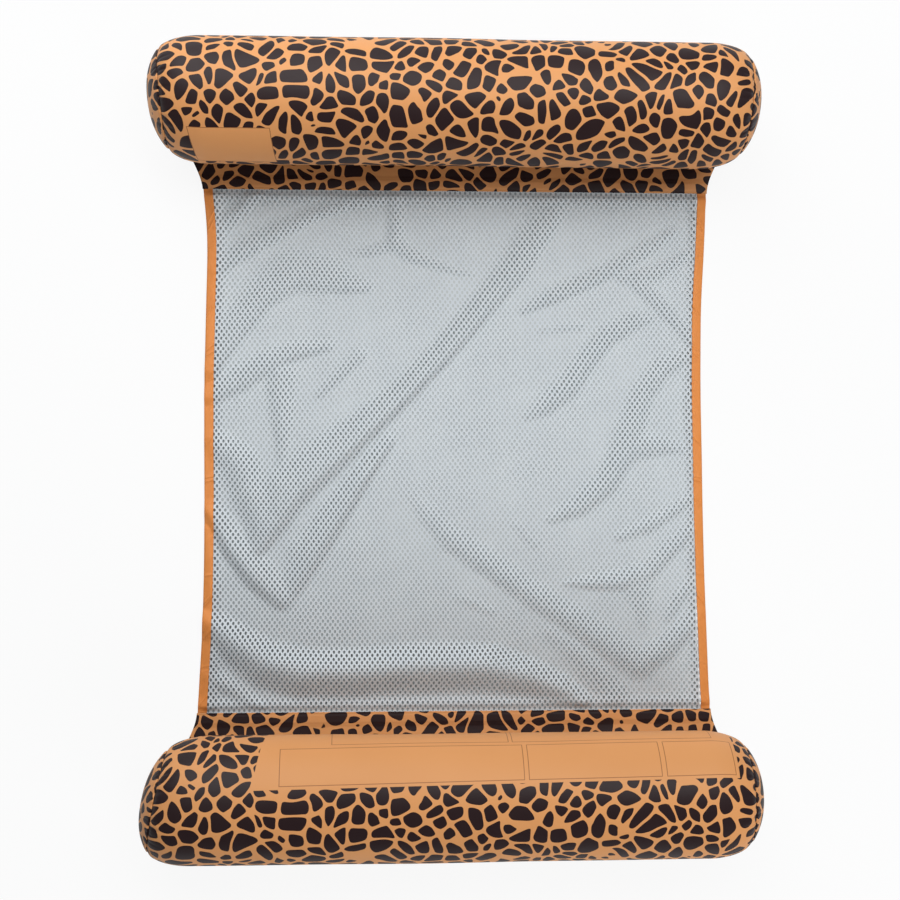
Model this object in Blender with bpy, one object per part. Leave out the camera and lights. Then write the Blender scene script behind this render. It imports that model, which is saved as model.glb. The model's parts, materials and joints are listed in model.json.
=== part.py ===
"""Water hammock: two inflatable tubes, each with a valve, joined to a net panel by welded flaps.

Units are metres. X runs along the tubes, +Y towards the head tube and +Z up. The origin is on the
floor under the middle. The head end is modelled once and the foot end is the same end turned round.
"""

import math

import bmesh
import bpy
from mathutils import Matrix, Vector

# Fits
GAP = 0.0003  # between pieces that touch
FOLD_GAP = 0.00045  # from a fold line in cloth to the cloth's edge
LEVER_GAP = 0.0007  # from a moulded hinge line to the face beside it

# Tubes
TUBE_LENGTH = 0.669  # over the domed ends
TUBE_RADIUS = 0.068
FILM = 0.0004  # printed film, also of the flaps
SHOULDER_LENGTH = 0.046  # where the barrel draws in to its end seam
SHOULDER_DROP = 0.0140
SHOULDER_SWEEP = math.radians(70)  # of the ellipse that the shoulder follows
DOME_RISE = 0.0120
DOME_POWER = 2.6  # of the dome's profile, which flattens towards its middle
SEAM_LIP = 0.0035  # width of the inward ring where barrel and disc are welded
PUCKER = 0.0009  # height of the gathers at the end seam
FACETS = 36  # faces round a tube, the lowest of which lies on the floor
SHOULDER_STEPS = 5
DOME_STEPS = 5

# Panel
PANEL_LENGTH = 0.580  # from flap to flap
PANEL_WAIST = 0.556  # over the bindings, halfway
SIDE_BOW = 0.0065  # how far each side spreads towards the flaps
NET_THICKNESS = 0.0006
NET_COLUMNS = 24  # half pitches across
NET_ROWS = 18  # half pitches along
HOLE_SHARE = 0.62  # of the pitch
NET_MARGIN = 0.004  # plain cloth along the flaps
TAPE = 0.0004
BINDING_WIDTH = 0.0105
BINDING_MARGIN = 0.0015  # plain cloth beside the binding
BINDING_STEPS = 18
BINDING_SETBACK = 0.0022  # from the fold line

# Flaps
FLAP_LENGTH = 0.0725  # from the fold line to the weld on the tube
FLAP_OVERHANG = 0.002  # beyond the binding at each side
FLAP_FLARE = 0.018  # how far each side spreads towards the tube
PLY_SETBACK = 0.0006  # of the plies from the fold line
LOWER_SETBACK = 0.0035  # of the lower ply behind the upper, at the tube
HEM_WIDTH = 0.013  # of net held between the plies
STEP_RUN = 0.003  # over which the upper ply steps down behind the hem
WELD_WIDTH = 0.0016
WELD_DEPTH = 0.00015
FIRST_WELD = 0.0035  # from the upper ply's edge
WELD_SPACING = 0.0062  # between the two welds over the hem

# Valves
VALVE_INSET = 0.095  # from the end seam along the tube
VALVE_ANGLE = math.radians(50)  # from the tube's lowest line towards its outer side
VALVE_SIDES = 24
FLANGE_RADIUS = 0.0165
FLANGE_THICKNESS = 0.0010
BOSS_WALL = 0.0016
BOSS_DEPTH = 0.0048  # below the film
STEM_RADIUS = 0.0068
STEM_BORE = 0.0040
STEM_TRAVEL = 0.0140
LIP_WIDTH = 0.0026  # outside the stem
LIP_THICKNESS = 0.0012
RIM_WIDTH = 0.0016  # of the stop at the stem's inner end
RIM_THICKNESS = 0.0014
HOLE_CLEARANCE = 0.0007  # from the stem to the hole in the film
EDGE_CHAMFER = 0.0004
CAP_WIDTH = 0.0028  # of the plug's cap outside its bore
CAP_THICKNESS = 0.0015
PLUG_CLEARANCE = 0.0003
PLUG_TAPER = 0.0005
PLUG_LENGTH = 0.0036
STRAP_REACH = 0.0050  # from the cap's edge to the strap's hinge line
STRAP_THICKNESS = 0.0008
STRAP_WIDTH = 0.0032
POST_THICKNESS = 0.0016
DISC_WIDTH = 0.0015  # of the check flap outside the bore
DISC_THICKNESS = 0.0008
TAIL_LENGTH = 0.0012  # from the check flap's edge to its hinge line

# Main folds of the net as it lies: (start x, y), (end x, y), height and half width
FOLDS = (
    ((-0.221, -0.116), (0.104, 0.262), 0.0080, 0.016),
    ((-0.178, -0.109), (-0.086, -0.008), 0.0045, 0.014),
    ((0.075, 0.159), (0.240, 0.238), 0.0050, 0.014),
    ((0.099, 0.038), (0.215, 0.164), 0.0050, 0.015),
    ((-0.013, -0.076), (0.184, -0.230), 0.0045, 0.016),
    ((-0.255, -0.086), (-0.190, -0.245), 0.0055, 0.014),
    ((-0.250, 0.143), (-0.155, 0.230), 0.0045, 0.014),
)
FOLD_FADE = 0.030  # over which folds die out towards the edges

# Places that follow from the sizes
FACET = 2 * math.pi / FACETS
TUBE_HEIGHT = TUBE_RADIUS * math.cos(FACET / 2)  # of the axis over the floor
SEAM_X = TUBE_LENGTH / 2 - DOME_RISE - FILM - GAP
SEAM_RADIUS = TUBE_RADIUS - SHOULDER_DROP
SHOULDER_X = SEAM_X - SHOULDER_LENGTH
FOLD_Y = PANEL_LENGTH / 2
NET_BOTTOM = TAPE + GAP
FOLD_Z = NET_BOTTOM + NET_THICKNESS / 2
PLY_TOP = NET_BOTTOM + NET_THICKNESS + GAP + FILM  # over the hem
WELD_Z = 2 * FILM + GAP  # top of the two plies where they lie together
WELD_OFFSET = TUBE_RADIUS * math.sin(FACET / 2) + WELD_Z / math.tan(FACET)
WELD_Y = FOLD_Y + FLAP_LENGTH
TUBE_Y = WELD_Y + WELD_OFFSET
FLAP_SIDE = PANEL_WAIST / 2 + SIDE_BOW + FLAP_OVERHANG
INNER_FILM = (TUBE_RADIUS - FILM) * math.cos(FACET / 2)
LIP_TOP = GAP + LIP_THICKNESS
LIP_RADIUS = STEM_RADIUS + LIP_WIDTH
STEM_DEPTH = BOSS_DEPTH + GAP + STEM_TRAVEL
STEM_END = -STEM_DEPTH - RIM_THICKNESS
CAP_RADIUS = STEM_BORE + CAP_WIDTH
CAP_BOTTOM = LIP_TOP + GAP
STRAP_Z = CAP_BOTTOM + CAP_THICKNESS / 2
STRAP_X = CAP_RADIUS + STRAP_REACH
DISC_RADIUS = STEM_BORE + DISC_WIDTH
DISC_Z = STEM_END - LEVER_GAP
TAIL_X = -DISC_RADIUS - TAIL_LENGTH


def material(name, colour, roughness):
    made = bpy.data.materials.new(name)
    made.use_nodes = True
    surface = made.node_tree.nodes["Principled BSDF"]
    surface.inputs["Base Color"].default_value = (*colour, 1)
    surface.inputs["Roughness"].default_value = roughness
    surface.inputs["Metallic"].default_value = 0
    return made


def empty(name, parent, location, turn=0, axis="Z"):
    """A joint's axis, or the frame of one end of the hammock."""
    made = bpy.data.objects.new(name, None)
    made.empty_display_size = 0.02
    bpy.context.collection.objects.link(made)
    made.parent = parent
    made.matrix_local = Matrix.Translation(location) @ Matrix.Rotation(turn, 4, axis)
    return made


def piece(name, bm, finish, parent, origin=(0, 0, 0)):
    """An object from a bmesh whose points are measured from the parent's parent frame at origin."""
    bmesh.ops.recalc_face_normals(bm, faces=bm.faces)
    mesh = bpy.data.meshes.new(name)
    bm.to_mesh(mesh)
    bm.free()
    mesh.materials.append(material(name, *finish))
    mesh.shade_smooth()
    mesh.set_sharp_from_angle(angle=math.radians(35))
    made = bpy.data.objects.new(name, mesh)
    bpy.context.collection.objects.link(made)
    made.parent = parent
    made.location = origin
    return made


def cutter(made):
    made.hide_render = True
    made.display_type = "WIRE"


def boolean(target, other, operation):
    change = target.modifiers.new(operation.lower(), "BOOLEAN")
    change.object = other
    change.operation = operation
    cutter(other)


def turned(outline, sides, axis, closed):
    """A body turned from (along the axis, radius) points. An open outline starts and ends on the axis."""
    bm = bmesh.new()
    half = math.pi / sides
    for along, radius in outline:
        if axis == "X":
            bm.verts.new((along, radius * math.sin(half), -radius * math.cos(half)))
        else:
            bm.verts.new((radius * math.cos(half), radius * math.sin(half), along))
    bm.verts.ensure_lookup_table()
    last = len(outline) if closed else len(outline) - 1
    for index in range(last):
        bm.edges.new((bm.verts[index], bm.verts[(index + 1) % len(outline)]))
    bmesh.ops.spin(
        bm,
        geom=bm.verts[:] + bm.edges[:],
        cent=(0, 0, 0),
        axis=Vector((1, 0, 0)) if axis == "X" else Vector((0, 0, 1)),
        angle=2 * math.pi,
        steps=sides,
        use_merge=True,
    )
    bmesh.ops.remove_doubles(bm, verts=bm.verts, dist=1e-7)
    bmesh.ops.dissolve_degenerate(bm, edges=bm.edges, dist=1e-7)
    return bm


def loft(rings):
    """A closed body through rings of as many points each, capped at both ends."""
    bm = bmesh.new()
    rows = [[bm.verts.new(point) for point in ring] for ring in rings]
    for row, following in zip(rows, rows[1:]):
        for index in range(len(row)):
            after = (index + 1) % len(row)
            bm.faces.new((row[index], row[after], following[after], following[index]))
    bm.faces.new(rows[0])
    bm.faces.new(rows[-1])
    return bm


def across(outline, half_width):
    """A body of (y, z) outline that spans from side to side, where half_width may depend on y."""
    return loft([[(side * half_width(y), y, z) for y, z in outline] for side in (-1, 1)])


def moved(bm, shift):
    bmesh.ops.translate(bm, verts=bm.verts, vec=shift)
    return bm


def side_x(y):
    """The outer edge of the binding."""
    return PANEL_WAIST / 2 + SIDE_BOW * (y / FOLD_Y) ** 2


def fold_height(x, y):
    """How far the net is raised off the floor by its folds."""
    height = 0
    for start, end, rise, width in FOLDS:
        start, end, point = Vector(start), Vector(end), Vector((x, y))
        run = end - start
        share = min(max((point - start).dot(run) / run.length_squared, 0), 1)
        away = (point - start - share * run).length / width
        height = max(height, rise * math.exp(-(away**2)))
    inside = min(side_x(y) - BINDING_WIDTH - abs(x), FOLD_Y - abs(y))
    fade = min(max(inside / FOLD_FADE, 0), 1)
    return height * fade * fade * (3 - 2 * fade)


def net():
    """A flat sheet of staggered lozenge holes with a plain margin, given its thickness and folds."""
    bm = bmesh.new()
    end_y = FOLD_Y - FOLD_GAP
    held = {}

    def corner(column, row):
        if (column, row) not in held:
            y = (2 * row / NET_ROWS - 1) * (end_y - NET_MARGIN)
            width = side_x(y) - BINDING_WIDTH - BINDING_MARGIN
            held[column, row] = bm.verts.new(((2 * column / NET_COLUMNS - 1) * width, y, 0))
        return held[column, row]

    for column in range(NET_COLUMNS + 1):
        for row in range(NET_ROWS + 1):
            if (column + row) % 2:
                continue
            round_it = ((-1, 0), (0, -1), (1, 0), (0, 1))
            inside = [
                (column + a, row + b)
                for a, b in round_it
                if 0 <= column + a <= NET_COLUMNS and 0 <= row + b <= NET_ROWS
            ]
            if len(inside) == 4:
                outer = [corner(*place) for place in inside]
                inner = [corner(column + HOLE_SHARE * a, row + HOLE_SHARE * b) for a, b in round_it]
                for index in range(4):
                    after = (index + 1) % 4
                    bm.faces.new((outer[index], outer[after], inner[after], inner[index]))
            else:
                if len(inside) == 2:
                    inside.append((column, row))
                bm.faces.new([corner(*place) for place in inside])

    sides = {held[place]: place for place in held if place[0] in (0, NET_COLUMNS) or place[1] in (0, NET_ROWS)}
    rim = [edge for edge in bm.edges if edge.is_boundary and all(vert in sides for vert in edge.verts)]
    limits = {vert.co.to_tuple(9): sides[vert] for vert in sides}
    grown = bmesh.ops.extrude_edge_only(bm, edges=rim)["geom"]
    for vert in (item for item in grown if isinstance(item, bmesh.types.BMVert)):
        column, row = limits[vert.co.to_tuple(9)]
        if row in (0, NET_ROWS):
            vert.co.y = math.copysign(end_y, vert.co.y)
        if column in (0, NET_COLUMNS):
            vert.co.x = math.copysign(side_x(vert.co.y) - TAPE - GAP, vert.co.x)

    bmesh.ops.recalc_face_normals(bm, faces=bm.faces)
    top = bmesh.ops.extrude_face_region(bm, geom=bm.faces[:], use_keep_orig=True)["geom"]
    raised = [item for item in top if isinstance(item, bmesh.types.BMVert)]
    bmesh.ops.translate(bm, verts=raised, vec=(0, 0, NET_THICKNESS))
    for vert in bm.verts:
        vert.co.z += NET_BOTTOM + fold_height(vert.co.x, vert.co.y)
    return bm


def binding(side):
    """Tape folded round one side of the net, open towards the middle."""
    top = NET_BOTTOM + NET_THICKNESS + GAP
    outline = (
        (BINDING_WIDTH, 0),
        (0, 0),
        (0, top + TAPE),
        (BINDING_WIDTH, top + TAPE),
        (BINDING_WIDTH, top),
        (TAPE, top),
        (TAPE, TAPE),
        (BINDING_WIDTH, TAPE),
    )
    end_y = FOLD_Y - BINDING_SETBACK
    rings = []
    for step in range(BINDING_STEPS + 1):
        y = (2 * step / BINDING_STEPS - 1) * end_y
        rings.append([(side * (side_x(y) - inward), y, z) for inward, z in outline])
    return loft(rings)


def flap_side(y):
    """Half the flap's width, from the fold line at y = 0 to the tube."""
    return FLAP_SIDE + FLAP_FLARE * y / FLAP_LENGTH


def upper_ply():
    """The ply that shows: over the hem, pressed by two welds, then stepped down on to the lower ply."""
    last = FLAP_LENGTH - GAP / math.sin(FACET)
    outline = [(PLY_SETBACK, PLY_TOP)]
    for weld in range(2):
        start = PLY_SETBACK + FIRST_WELD + weld * WELD_SPACING
        outline += [
            (start, PLY_TOP),
            (start + WELD_WIDTH / 4, PLY_TOP - WELD_DEPTH),
            (start + WELD_WIDTH * 3 / 4, PLY_TOP - WELD_DEPTH),
            (start + WELD_WIDTH, PLY_TOP),
        ]
    step = FOLD_GAP + HEM_WIDTH + GAP + FILM
    outline += [
        (step, PLY_TOP),
        (step + STEP_RUN, WELD_Z),
        (last, WELD_Z),
        (last, WELD_Z - FILM),
        (step + STEP_RUN - FILM / 2, WELD_Z - FILM),
        (step - FILM / 2, PLY_TOP - FILM),
        (PLY_SETBACK, PLY_TOP - FILM),
    ]
    return moved(across(outline, flap_side), (0, 0, -FOLD_Z))


def lower_ply():
    last = FLAP_LENGTH - GAP / math.sin(FACET) - LOWER_SETBACK
    outline = [(PLY_SETBACK, 0), (last, 0), (last, FILM), (PLY_SETBACK, FILM)]
    return moved(across(outline, flap_side), (0, 0, -FOLD_Z))


def hem():
    outline = [
        (FOLD_GAP, NET_BOTTOM),
        (FOLD_GAP + HEM_WIDTH, NET_BOTTOM),
        (FOLD_GAP + HEM_WIDTH, NET_BOTTOM + NET_THICKNESS),
        (FOLD_GAP, NET_BOTTOM + NET_THICKNESS),
    ]
    return moved(across(outline, lambda y: FLAP_SIDE - FLAP_OVERHANG), (0, 0, -FOLD_Z))


def gathered(bm):
    """The end seam's gathers: every second line round the tube is drawn in and the next let out."""
    for vert in bm.verts:
        radius = math.hypot(vert.co.y, vert.co.z)
        share = (abs(vert.co.x) - SHOULDER_X) / SHOULDER_LENGTH
        if share <= 0 or radius < SEAM_RADIUS / 2:
            continue
        wave = math.sin(math.atan2(vert.co.y, -vert.co.z) * FACETS / 2)
        strength = min(share, 1) ** 2 * min((2 * radius / SEAM_RADIUS - 1), 1)
        grown = 1 + PUCKER * wave * strength / radius
        vert.co.y *= grown
        vert.co.z *= grown
    return bm


def barrel():
    """The rolled film: a straight run, a drawn-in shoulder at each end and a lip for the end disc."""
    length = SHOULDER_LENGTH / math.sin(SHOULDER_SWEEP)
    drop = SHOULDER_DROP / (1 - math.cos(SHOULDER_SWEEP))
    outside, inside = [], []
    for step in range(SHOULDER_STEPS + 1):
        angle = SHOULDER_SWEEP * step / SHOULDER_STEPS
        radius = TUBE_RADIUS - drop * (1 - math.cos(angle))
        outside.append(Vector((SHOULDER_X + length * math.sin(angle), radius)))
        normal = Vector((math.sin(angle) / length, math.cos(angle) / drop)).normalized()
        inside.append(outside[-1] - FILM * normal)
    corner = math.pi / 4 - math.atan2(normal.x, normal.y) / 2
    inside[-1] = Vector((SEAM_X - FILM, SEAM_RADIUS - FILM * math.tan(corner)))
    outside.append(Vector((SEAM_X, SEAM_RADIUS - SEAM_LIP)))
    inside.append(Vector((SEAM_X - FILM, SEAM_RADIUS - SEAM_LIP)))
    half = outside + inside[::-1]
    mirrored = [Vector((-x, radius)) for x, radius in half[::-1]]
    middle = len(outside)
    outline = mirrored[middle:] + half + mirrored[:middle]
    return gathered(turned(outline, FACETS, "X", closed=True))


def end_disc(side):
    """A domed disc whose rim is turned inward, flat on the barrel's lip."""
    face = SEAM_X + GAP
    slope = DOME_RISE * DOME_POWER / SEAM_RADIUS
    crotch = FILM * math.hypot(1, slope) / slope
    outside, inside = [], []
    for step in range(DOME_STEPS + 1):
        share = step / DOME_STEPS
        bulge = 1 - share**DOME_POWER
        outside.append((face + FILM + DOME_RISE * bulge, SEAM_RADIUS * share))
        inside.append((face + FILM + (DOME_RISE - FILM) * bulge, (SEAM_RADIUS - crotch) * share))
    lip = [(face, SEAM_RADIUS), (face, SEAM_RADIUS - SEAM_LIP), (face + FILM, SEAM_RADIUS - SEAM_LIP)]
    outline = [(side * along, radius) for along, radius in outside + lip + inside[::-1]]
    return gathered(turned(outline, FACETS, "X", closed=False))


def valve_base():
    """Flange that follows the inside of the film, with a boss for the stem. Z points out of the tube."""
    bore = STEM_RADIUS + GAP
    curve = INNER_FILM - GAP
    outline = (
        (0, bore),
        (0, FLANGE_RADIUS),
        (-FLANGE_THICKNESS, FLANGE_RADIUS),
        (-FLANGE_THICKNESS, bore + BOSS_WALL),
        (-BOSS_DEPTH, bore + BOSS_WALL),
        (-BOSS_DEPTH, bore),
    )
    bm = turned(outline, VALVE_SIDES, "Z", closed=True)
    for vert in bm.verts:
        if vert.co.z > -BOSS_DEPTH / 2:
            vert.co.z += math.sqrt(curve**2 - vert.co.y**2) - TUBE_HEIGHT
    return bm


def valve_stem():
    """Bored stem with an outer lip and an inner stop."""
    outline = (
        (LIP_TOP, STEM_BORE),
        (LIP_TOP, LIP_RADIUS - EDGE_CHAMFER),
        (LIP_TOP - EDGE_CHAMFER, LIP_RADIUS),
        (GAP, LIP_RADIUS),
        (GAP, STEM_RADIUS),
        (-STEM_DEPTH, STEM_RADIUS),
        (-STEM_DEPTH, STEM_RADIUS + RIM_WIDTH),
        (STEM_END, STEM_RADIUS + RIM_WIDTH),
        (STEM_END, STEM_BORE),
    )
    return turned(outline, VALVE_SIDES, "Z", closed=True)


def bar(outline, width):
    """A straight bar of (x, z) outline, width across Y."""
    return loft([[(x, side * width / 2, z) for x, z in outline] for side in (-1, 1)])


def strap_post():
    """Arm from the stem's lip and the post that the plug's strap is moulded to."""
    near = STRAP_X + LEVER_GAP
    far = near + POST_THICKNESS
    top = STRAP_Z - STRAP_THICKNESS * 0.3
    root = LIP_RADIUS - LIP_WIDTH / 2
    outline = ((root, GAP), (far, GAP), (far, top), (near, top), (near, LIP_TOP), (root, LIP_TOP))
    return bar(outline, STRAP_WIDTH)


def plug():
    """Cap and tapered shank. The frame is the strap's hinge line."""
    shank = STEM_BORE - PLUG_CLEARANCE
    top = CAP_BOTTOM + CAP_THICKNESS
    outline = (
        (top, 0),
        (top, CAP_RADIUS - EDGE_CHAMFER),
        (top - EDGE_CHAMFER, CAP_RADIUS),
        (CAP_BOTTOM, CAP_RADIUS),
        (CAP_BOTTOM, shank),
        (CAP_BOTTOM - PLUG_LENGTH, shank - PLUG_TAPER),
        (CAP_BOTTOM - PLUG_LENGTH, 0),
    )
    return moved(turned(outline, VALVE_SIDES, "Z", closed=False), (-STRAP_X, 0, -STRAP_Z))


def lever(start, thickness, width):
    """A flat strip from x = start to a rounded end on the hinge line at x = 0."""
    half = thickness / 2
    toe = math.copysign(half, -start)
    outline = (
        (start, -half),
        (0, -half),
        (toe * math.sin(math.pi / 4), -half * math.cos(math.pi / 4)),
        (toe, 0),
        (toe * math.sin(math.pi / 4), half * math.cos(math.pi / 4)),
        (0, half),
        (start, half),
    )
    return bar(outline, width)


def check_disc():
    half = DISC_THICKNESS / 2
    outline = ((half, 0), (half, DISC_RADIUS), (-half, DISC_RADIUS), (-half, 0))
    return moved(turned(outline, VALVE_SIDES, "Z", closed=False), (-TAIL_X, 0, 0))


def film_hole():
    """A cutter through the film for the stem."""
    radius = STEM_RADIUS + HOLE_CLEARANCE
    outline = ((-BOSS_DEPTH, 0), (-BOSS_DEPTH, radius), (BOSS_DEPTH, radius), (BOSS_DEPTH, 0))
    return turned(outline, VALVE_SIDES, "Z", closed=False)


PRINT = ((0.72, 0.36, 0.12), 0.42)
CLOTH = ((0.62, 0.68, 0.74), 0.80)
ORANGE = ((0.86, 0.28, 0.07), 0.65)
CLEAR = ((0.80, 0.82, 0.80), 0.35)


def valve(end, tube):
    """One valve, from the frame of the tube that carries it."""
    x = SEAM_X - VALVE_INSET
    out = Vector((0, math.sin(VALVE_ANGLE), -math.cos(VALVE_ANGLE)))
    axis = Vector((x, WELD_OFFSET, TUBE_HEIGHT - WELD_Z)) + TUBE_HEIGHT * out
    frame = empty(end + "_valve_frame", tube, axis, math.pi + VALVE_ANGLE, "X")
    piece(end + "_valve_base", valve_base(), CLEAR, frame)

    slide = empty(end + "_valve_slide", frame, (0, 0, 0))
    stem = piece(end + "_valve_stem", valve_stem(), CLEAR, slide)
    boolean(stem, piece(end + "_strap_post", strap_post(), CLEAR, slide), "UNION")

    hinge = empty(end + "_plug_swing", slide, (STRAP_X, 0, STRAP_Z))
    stopper = piece(end + "_valve_plug", plug(), CLEAR, hinge)
    strap = lever(-STRAP_REACH - CAP_WIDTH / 2, STRAP_THICKNESS, STRAP_WIDTH)
    boolean(stopper, piece(end + "_strap", strap, CLEAR, hinge), "UNION")

    hinge = empty(end + "_check_flap_swing", slide, (TAIL_X, 0, DISC_Z))
    disc = piece(end + "_valve_check_flap", check_disc(), CLEAR, hinge)
    tail = lever(TAIL_LENGTH + DISC_WIDTH, DISC_THICKNESS, STRAP_WIDTH)
    boolean(disc, piece(end + "_tail", tail, CLEAR, hinge), "UNION")
    return frame


def end_of_hammock(end, turn, left):
    """The flap, the tube and its valve at one end. left is the side of X that is left in the whole."""
    frame = empty(end + "_end", None, (0, 0, 0), turn)
    fold = empty(end + "_flap_fold", frame, (0, FOLD_Y, FOLD_Z))
    piece(end + "_flap_upper_ply", upper_ply(), PRINT, fold)
    piece(end + "_flap_lower_ply", lower_ply(), PRINT, fold)
    piece(end + "_mesh_hem", hem(), CLOTH, fold)

    tube = empty(end + "_tube_roll", fold, (0, FLAP_LENGTH, WELD_Z - FOLD_Z))
    axis = (0, WELD_OFFSET, TUBE_HEIGHT - WELD_Z)
    film = piece(end + "_tube_barrel", barrel(), PRINT, tube, axis)
    piece(end + "_left_end_disc", end_disc(left), PRINT, tube, axis)
    piece(end + "_right_end_disc", end_disc(-left), PRINT, tube, axis)
    frame = valve(end, tube)
    boolean(film, piece(end + "_film_hole", film_hole(), CLEAR, frame), "DIFFERENCE")


def main():
    for old in list(bpy.data.objects):
        bpy.data.objects.remove(old)
    piece("mesh_panel", net(), CLOTH, None)
    piece("left_binding", binding(-1), ORANGE, None)
    piece("right_binding", binding(1), ORANGE, None)
    end_of_hammock("head", 0, -1)
    end_of_hammock("foot", math.pi, 1)


main()
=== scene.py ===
"""Looks of a water hammock: two inflated tubes of printed film, flaps and a net with bound sides.

Units are metres. X runs along the tubes, +Y to the head tube and +Z up, with the floor at zero.
"""

import json
import math

import bmesh
import bpy
import numpy as np
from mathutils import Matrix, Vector


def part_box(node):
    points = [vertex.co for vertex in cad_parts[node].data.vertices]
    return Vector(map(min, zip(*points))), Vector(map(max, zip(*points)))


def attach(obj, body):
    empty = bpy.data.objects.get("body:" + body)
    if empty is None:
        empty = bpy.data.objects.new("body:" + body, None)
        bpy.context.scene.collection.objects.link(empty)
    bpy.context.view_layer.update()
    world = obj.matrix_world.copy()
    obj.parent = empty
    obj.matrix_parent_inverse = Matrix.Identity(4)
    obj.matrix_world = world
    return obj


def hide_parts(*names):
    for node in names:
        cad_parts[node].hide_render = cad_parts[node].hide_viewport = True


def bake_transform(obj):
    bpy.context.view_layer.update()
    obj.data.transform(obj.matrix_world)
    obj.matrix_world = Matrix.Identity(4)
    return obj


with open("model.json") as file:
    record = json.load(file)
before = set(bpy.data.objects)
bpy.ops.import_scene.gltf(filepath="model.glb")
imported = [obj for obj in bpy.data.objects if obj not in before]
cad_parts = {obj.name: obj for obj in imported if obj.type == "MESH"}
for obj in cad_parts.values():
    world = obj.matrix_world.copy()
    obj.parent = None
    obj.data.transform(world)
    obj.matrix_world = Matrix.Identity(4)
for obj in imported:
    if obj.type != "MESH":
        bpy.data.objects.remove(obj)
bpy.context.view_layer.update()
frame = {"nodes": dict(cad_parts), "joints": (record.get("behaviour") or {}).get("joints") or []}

# Places that the solids give
joints = {joint["name"]: Vector(joint.get("pos_m", (0, 0, 0))) for joint in frame["joints"]}
barrel_low, barrel_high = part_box("head_tube_barrel")
TUBE_RADIUS = (barrel_high.z - barrel_low.z) / 2
TUBE_Y = (barrel_low.y + barrel_high.y) / 2
SEAM_X = barrel_high.x
DOME_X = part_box("head_right_end_disc")[1].x
FOLD = joints["head_flap_fold"]
WELD = joints["head_tube_roll"]
HEM_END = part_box("head_mesh_hem")[1].y

# Tubes
FILM = 0.0004
SHOULDER_LENGTH = 0.046  # where the barrel draws in to its end seam
SHOULDER_SWEEP = math.radians(70)  # of the ellipse that the shoulder follows
SEAM_RADIUS = 0.054
SEAM_GAP = 0.0003  # between the barrel's lip and the disc's
SEAM_LIP = 0.0030
SEAM_CREASE = 0.0019  # depth of the groove along the end seam
CREASE_REACH = 0.0018  # over which the groove fades
DOME_MORE = 0.0045  # how much further the discs are blown out than their solids
DOME_POWER = 2.6  # of the dome's profile, which flattens towards its middle
DISC_PRINT_PLACE = (0.37, 0.1)  # of the part of the print that the discs show
PLEATS = 38  # gathers round an end seam
PLEAT_DEPTH = 0.0018
PLEAT_REACH = 0.0115  # over which the gathers fade
PLEAT_SEEDS = {-1: 3, 1: 11}  # of the draws for the left and right seams
PLEAT_TURN = 0.004  # from a disc's rim, over which its gathers turn to run in along the tube
FACETS = 384  # round a tube
PRINT_TWIST = {"head": 0, "foot": 0.016}  # how far the print turns round the tube along its length
PRINT_TWIST_X = 0.04  # where the turned print is in its true place
VALVE_INSET = 0.095  # from the end seam along the tube
VALVE_ANGLE = math.radians(50)  # from the tube's lowest line towards its outer side
VALVE_HOLE = 0.0075
VALVE_REACH = 0.010  # to each side of the valve, within which the barrel's rings lie close together

# How far each end seam lies short of its true place, at the tube's outer side and at the net's side
TUCKED = {
    ("head", -1): (0.0015, 0.0110),
    ("head", 1): (0.0050, 0.0125),
    ("foot", -1): (-0.0065, 0.0120),
    ("foot", 1): (0.0100, 0.0125),
}
TUCK_START = 0.235  # along x, where the film begins to be drawn in
TUCK_RUN = 0.060

# Flaps
FLAP_OVERHANG = 0.0007  # beyond the binding at each side
FLAP_FLARE = 0.018  # how far each side spreads towards the tube
FLARE_RUN = 0.060
FLAP_LENGTH = WELD.y - FOLD.y
PLY_SETBACK = 0.0012  # from the fold line, so that the plies turn clear of the bindings
PLY_END = 0.0018  # from the weld on the tube to the plies' edge
PLY_TOP = 0.0020  # height of the upper ply over the net's edge
WELD_Z = WELD.z
LOWER_SETBACK = 0.0035  # of the lower ply behind the upper, at the tube
FLAP_WELDS = (0.0032, 0.0140)  # from the fold line
FLAP_WELD_WIDTH = 0.0011
FLAP_WELD_DEPTH = 0.00035
FLAP_PRINT = 1.10  # scale of the flaps' print, larger than the tubes'
FLAP_PRINT_PLACE = (0.43, 0.05)  # of the part of the print that the flaps show

# Net
PITCH = 0.00565  # of the holes across
ROW = 0.003825  # from one row of holes to the next, which is half a pitch aside
HOLE_WIDTH = 0.0024
HOLE_LENGTH = 0.0040
CONTACT = 0.0003  # height of the cloth where it lies on the floor
SEWN_Y = 0.286  # where the net turns into the strip held by the flap
NET_INSET = 0.0035  # from the bindings' outer edges to the net's
STRIP_INSET = 0.0080  # from the bindings' outer edges to the folding strips'
EDGE_RUN = 0.012  # over which the cloth comes down to the floor

# Bindings
PANEL_WAIST = 0.556
SIDE_BOW = 0.0065
BINDING_WIDTH = 0.0105
BINDING_TOP = 0.0020
BINDING_END = 0.2910
CREASED_Y = 0.28  # to which the bindings are creased
CREASE_SPACING = 0.0235  # of the slanting creases along the bindings
CREASE_WIDTH = 0.0014

# How far the sides lie out of line as the cloth has settled: places along y, and how far outward
# each side lies there
SETTLED_Y = (-0.300, -0.248, -0.206, -0.124, 0, 0.068, 0.167, 0.223, 0.262, 0.300)
SETTLED = {
    -1: (0, -0.0004, -0.0015, -0.0014, 0.0002, 0.0001, -0.0037, -0.0069, -0.0066, -0.0036),
    1: (0.0033, 0.0032, 0.0034, 0.0028, 0.0021, 0.0008, 0.0004, 0.0024, 0.0027, 0.0023),
}
SETTLED_BLUR = 0.012  # step along y over which the shifts are evened out

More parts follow.
